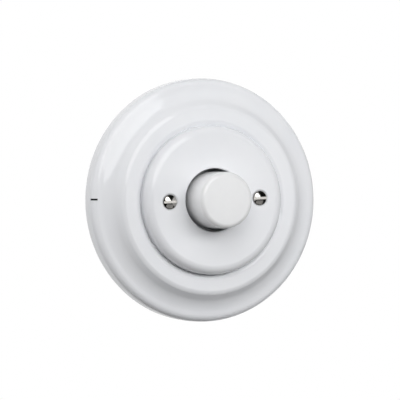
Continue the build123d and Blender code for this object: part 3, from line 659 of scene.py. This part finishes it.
def surroundings():
    """A world that is white to the camera, in reflections and through glass, and dim as a light."""
    world = bpy.data.worlds.new("studio")
    bpy.context.scene.world = world
    world.use_nodes = True
    nodes, links = world.node_tree.nodes, world.node_tree.links
    light = nodes["Background"]
    light.inputs["Color"].default_value = (1, 1, 1, 1)
    path = nodes.new("ShaderNodeLightPath")
    seen = nodes.new("ShaderNodeMath")
    seen.operation = "MAXIMUM"
    through = nodes.new("ShaderNodeMath")
    through.operation = "MAXIMUM"
    level = nodes.new("ShaderNodeMapRange")
    level.inputs["To Min"].default_value = AMBIENT
    level.inputs["To Max"].default_value = 1.0
    links.new(path.outputs["Is Camera Ray"], seen.inputs[0])
    links.new(path.outputs["Is Glossy Ray"], seen.inputs[1])
    links.new(seen.outputs[0], through.inputs[0])
    links.new(path.outputs["Is Transmission Ray"], through.inputs[1])
    links.new(through.outputs[0], level.inputs["Value"])
    links.new(level.outputs["Result"], light.inputs["Strength"])


def dark_room():
    """The studio's dark wall in front of the object, which only reflections see."""
    made = finish("dark_wall", (0.01, 0.01, 0.01), 0.9)
    tint(made, grain(made, 3, 2), (0.008, 0.008, 0.008), (0.014, 0.014, 0.014))
    bm = bmesh.new()
    bmesh.ops.create_uvsphere(
        bm, u_segments=ROOM_SEGMENTS, v_segments=ROOM_SEGMENTS // 2, radius=ROOM_RADIUS,
    )
    bmesh.ops.bisect_plane(
        bm, geom=bm.verts[:] + bm.edges[:] + bm.faces[:], plane_co=(0, ROOM_MOUTH, 0),
        plane_no=(0, 1, 0), clear_outer=True,
    )
    wall = finished("dark_room", bm)
    wall.data.materials.append(made)
    only_in_reflections(wall)


def floor():
    """A plain pale floor under the object."""
    made = finish("floor_white", (0.88, 0.88, 0.88), 0.8)
    tint(made, grain(made, 6, 3), (0.87, 0.87, 0.87), (0.89, 0.89, 0.89))
    bm = bmesh.new()
    bmesh.ops.create_grid(bm, x_segments=1, y_segments=1, size=FLOOR_SIZE)
    bmesh.ops.translate(bm, verts=bm.verts, vec=(0, 0, FLOOR_DROP))
    ground = finished("floor", bm)
    ground.data.materials.append(made)
    ground.visible_glossy = False


bpy.context.scene.view_settings.view_transform = "Standard"
camera()
surroundings()
floor()
dark_room()
for lamp in LAMPS:
    softbox(*lamp)
for panel in CARDS:
    card(*panel)


# Rosette and centre plate

def rosette():
    """The stepped ring: lip, cove, bead and seat in front, a hollow behind, two notches."""
    crease = COVER_RADIUS - CREASE_BITE
    corners = [
        (RING_RADIUS, 0, BACK_EDGE),
        (RING_RADIUS, LIP_TOP, LIP_ROUND),
        (*COVE_FOOT, COVE_ROUND),
        (*BEAD, BEAD_ROUND),
        (CROWN_IN, BEAD_TOP, CROWN_ROUND),
        (crease, CREASE_TOP, 0),
        (crease, SEAT, 0),
        (RING_OPENING, SEAT, SEAT_EDGE),
        (RING_OPENING, FLANGE_BACK, FLANGE_EDGE),
        (HOLLOW_IN, FLANGE_BACK, HOLLOW_ROUND),
        (HOLLOW_STEP, LIP_CEILING, HOLLOW_ROUND),
        (HOLLOW_OUT, LIP_CEILING, HOLLOW_ROUND),
        (HOLLOW_OUT, 0, BACK_EDGE),
    ]
    ring = turned("rosette", corners)
    depth = NOTCH_DEPTH + NOTCH_OVERCUT
    middle = RING_OPENING + NOTCH_DEPTH - depth / 2
    notches = [
        block(NOTCH_WIDTH, depth, FLANGE_BACK - OVER, SEAT + OVER, y=side * middle)
        for side in (-1, 1)
    ]
    return install(shaded(worked(ring, notches)), FINISHES["porcelain"], "frame_ring")


def index_tick():
    """A plain short tick over the lip's round, at nine o'clock, its near black colour painted shade."""
    slope = atan2(COVE_FOOT[1] - LIP_TOP, RING_RADIUS - COVE_FOOT[0])
    centre = (RING_RADIUS - LIP_ROUND, LIP_TOP + LIP_ROUND * (tan(slope) - 1 / cos(slope)))
    angles = [TICK_FROM + (TICK_TO - TICK_FROM) * i / TICK_STEPS for i in range(TICK_STEPS + 1)]
    proud = LIP_ROUND + TICK_PROUD
    sunk = LIP_ROUND - TICK_SUNK
    line = [(centre[0] + proud * cos(a), centre[1] + proud * sin(a)) for a in angles]
    line += [(centre[0] + sunk * cos(a), centre[1] + sunk * sin(a)) for a in reversed(angles)]
    bm = bmesh.new()
    section = bm.faces.new([bm.verts.new((-r * MM, -h * MM, 0)) for r, h in line])
    width = TICK_WIDTH / RING_RADIUS
    start = Matrix.Rotation(TICK_PLACE - width / 2, 3, "Y")
    bmesh.ops.rotate(bm, verts=bm.verts, cent=(0, 0, 0), matrix=start)
    bmesh.ops.spin(
        bm, geom=[section], cent=(0, 0, 0), axis=(0, 1, 0), angle=width, steps=TICK_WIDTH_STEPS,
        use_merge=False, use_duplicate=False,
    )
    bmesh.ops.recalc_face_normals(bm, faces=bm.faces)
    tick = finished("index_tick", bm)
    # The tick's near black is painted shade, standing for the shadow in a cut mark.
    tick.data.materials.append(tick_painted_shade())
    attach(shaded(tick), BODY_OF["frame_ring"])


def centre_plate():
    """The plate in the ring: shoulder, knob's hole, spigot with lugs, countersunk screw holes."""
    corners = [
        (COVER_RADIUS, SEAT, COVER_EDGE),
        (COVER_RADIUS, COVER_FRONT, COVER_SHOULDER),
        (KNOB_HOLE, COVER_FRONT, HOLE_EDGE),
        (KNOB_HOLE, COVER_UNDERSIDE, COVER_EDGE),
        (SPIGOT_INSIDE, COVER_UNDERSIDE, SPIGOT_ROOT),
        (SPIGOT_INSIDE, SPIGOT_END, COVER_EDGE),
        (SPIGOT_RADIUS, SPIGOT_END, COVER_EDGE),
        (SPIGOT_RADIUS, SEAT, 0),
    ]
    plate = turned("centre_plate", corners)
    lug_in = SPIGOT_INSIDE + OVER
    added = [
        block(LUG_WIDTH, LUG_REACH - lug_in, SPIGOT_END, SEAT, y=side * (LUG_REACH + lug_in) / 2)
        for side in (-1, 1)
    ]
    boss = [
        (0, BOSS_END, 0),
        (BOSS_RADIUS, BOSS_END, BOSS_EDGE),
        (BOSS_RADIUS, COVER_UNDERSIDE + OVER, 0),
        (0, COVER_UNDERSIDE + OVER, 0),
    ]
    added += [rod(boss, side * SCREW_X) for side in (-1, 1)]
    cone_low = COVER_FRONT - (SCREW_MOUTH - SCREW_HOLE)
    wide = SCREW_MOUTH + OVER / 2
    hole = [
        (0, BOSS_END - OVER, 0),
        (SCREW_HOLE, BOSS_END - OVER, 0),
        (SCREW_HOLE, cone_low, 0),
        (SCREW_MOUTH, COVER_FRONT, MOUTH_ROUND),
        (wide, COVER_FRONT, 0),
        (wide, COVER_FRONT + OVER, 0),
        (0, COVER_FRONT + OVER, 0),
    ]
    holes = [rod(hole, side * SCREW_X) for side in (-1, 1)]
    plate = worked(worked(plate, added, "UNION"), holes)
    return install(shaded(plate), FINISHES["porcelain"], "cover_plate")


def cover_screw(name, side):
    """A slotted screw with a raised head, whose top is part of a ball."""
    cone_low = COVER_FRONT - (HEAD_RADIUS - SHANK_RADIUS)
    top = COVER_FRONT + HEAD_DOME
    ball = (HEAD_RADIUS ** 2 + HEAD_DOME ** 2) / (2 * HEAD_DOME)
    corner = ball * HEAD_DOME / HEAD_RADIUS
    screw = finished(name, rod([
        (0, SCREW_END, 0),
        (SHANK_RADIUS, SCREW_END, SHANK_EDGE),
        (SHANK_RADIUS, cone_low, 0),
        (HEAD_RADIUS, COVER_FRONT, HEAD_RIM),
        (corner, top, ball * HEAD_ARC),
        (0, top, 0),
    ], side * SCREW_X))
    slot = block(3 * HEAD_RADIUS, SLOT_WIDTH, top - SLOT_DEPTH, top + OVER, x=side * SCREW_X)
    worked(screw, [slot])
    return install(shaded(screw, CRISP_ANGLE_SCREW), FINISHES["bright_nickel"], "cover_screws")


def knob():
    """The knob: skirt, hub and ribs behind a nearly flat front with a round edge."""
    inside = KNOB_RADIUS - KNOB_DRAFT - KNOB_WALL
    edge_in = KNOB_RADIUS - KNOB_DRAFT - KNOB_EDGE
    piece = finished("control_knob", rod([
        (0, KNOB_FRONT, 0),
        (edge_in / 2, KNOB_FRONT, KNOB_DOME_ROUND),
        (KNOB_RADIUS - KNOB_DRAFT, KNOB_FRONT - KNOB_DOME, KNOB_EDGE),
        (KNOB_RADIUS, KNOB_SKIRT_END, KNOB_SMALL_EDGE),
        (KNOB_RADIUS - KNOB_WALL, KNOB_SKIRT_END, KNOB_SMALL_EDGE),
        (inside, KNOB_ROOF, KNOB_INSIDE_ROUND),
        (HUB_RADIUS, KNOB_ROOF, HUB_ROOT),
        (HUB_RADIUS, HUB_END, KNOB_SMALL_EDGE),
        (SHAFT_BORE, HUB_END, KNOB_SMALL_EDGE),
        (SHAFT_BORE, BORE_TOP, 0),
        (0, BORE_TOP, 0),
    ], steps=KNOB_STEPS))
    length = inside - HUB_RADIUS + OVER
    middle = (inside + HUB_RADIUS) / 2
    turns = [radians(RIB_START + 360 / RIB_COUNT * i) for i in range(RIB_COUNT)]
    ribs = [
        block(length, RIB_THICKNESS, RIB_END, KNOB_ROOF + OVER, x=middle, turn=turn)
        for turn in turns
    ]
    flat_depth = SHAFT_BORE - SHAFT_FLAT + FLAT_OVERLAP
    flat_y = SHAFT_FLAT + flat_depth / 2
    flat_low = HUB_END + KNOB_SMALL_EDGE
    flat = block(2 * SHAFT_BORE, flat_depth, flat_low, BORE_TOP + OVER, y=flat_y)
    return install(shaded(worked(piece, ribs + [flat], "UNION")), FINISHES["knob_white"], "knob")


rosette()
index_tick()
centre_plate()
cover_screw("cover_screw_left", -1)
cover_screw("cover_screw_right", 1)
knob()


# The insert's pieces keep the frame's shape, merged and smooth shaded

def smooth_copy(node):
    """The node's own shape as one merged, smooth shaded mesh."""
    bm = bmesh.new()
    bm.from_mesh(frame["nodes"][node].data)
    bmesh.ops.remove_doubles(bm, verts=bm.verts, dist=MERGE)
    return shaded(finished(f"{node}_piece", bm), CRISP_ANGLE_INSERT)


DONE = ("frame_ring", "cover_plate", "cover_screws", "knob")
for node in sorted(frame["nodes"]):
    if node not in DONE:
        install(smooth_copy(node), FINISHES[SLOT_OF[node]], node)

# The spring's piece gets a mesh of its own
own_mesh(bpy.data.objects["return_spring_piece"])
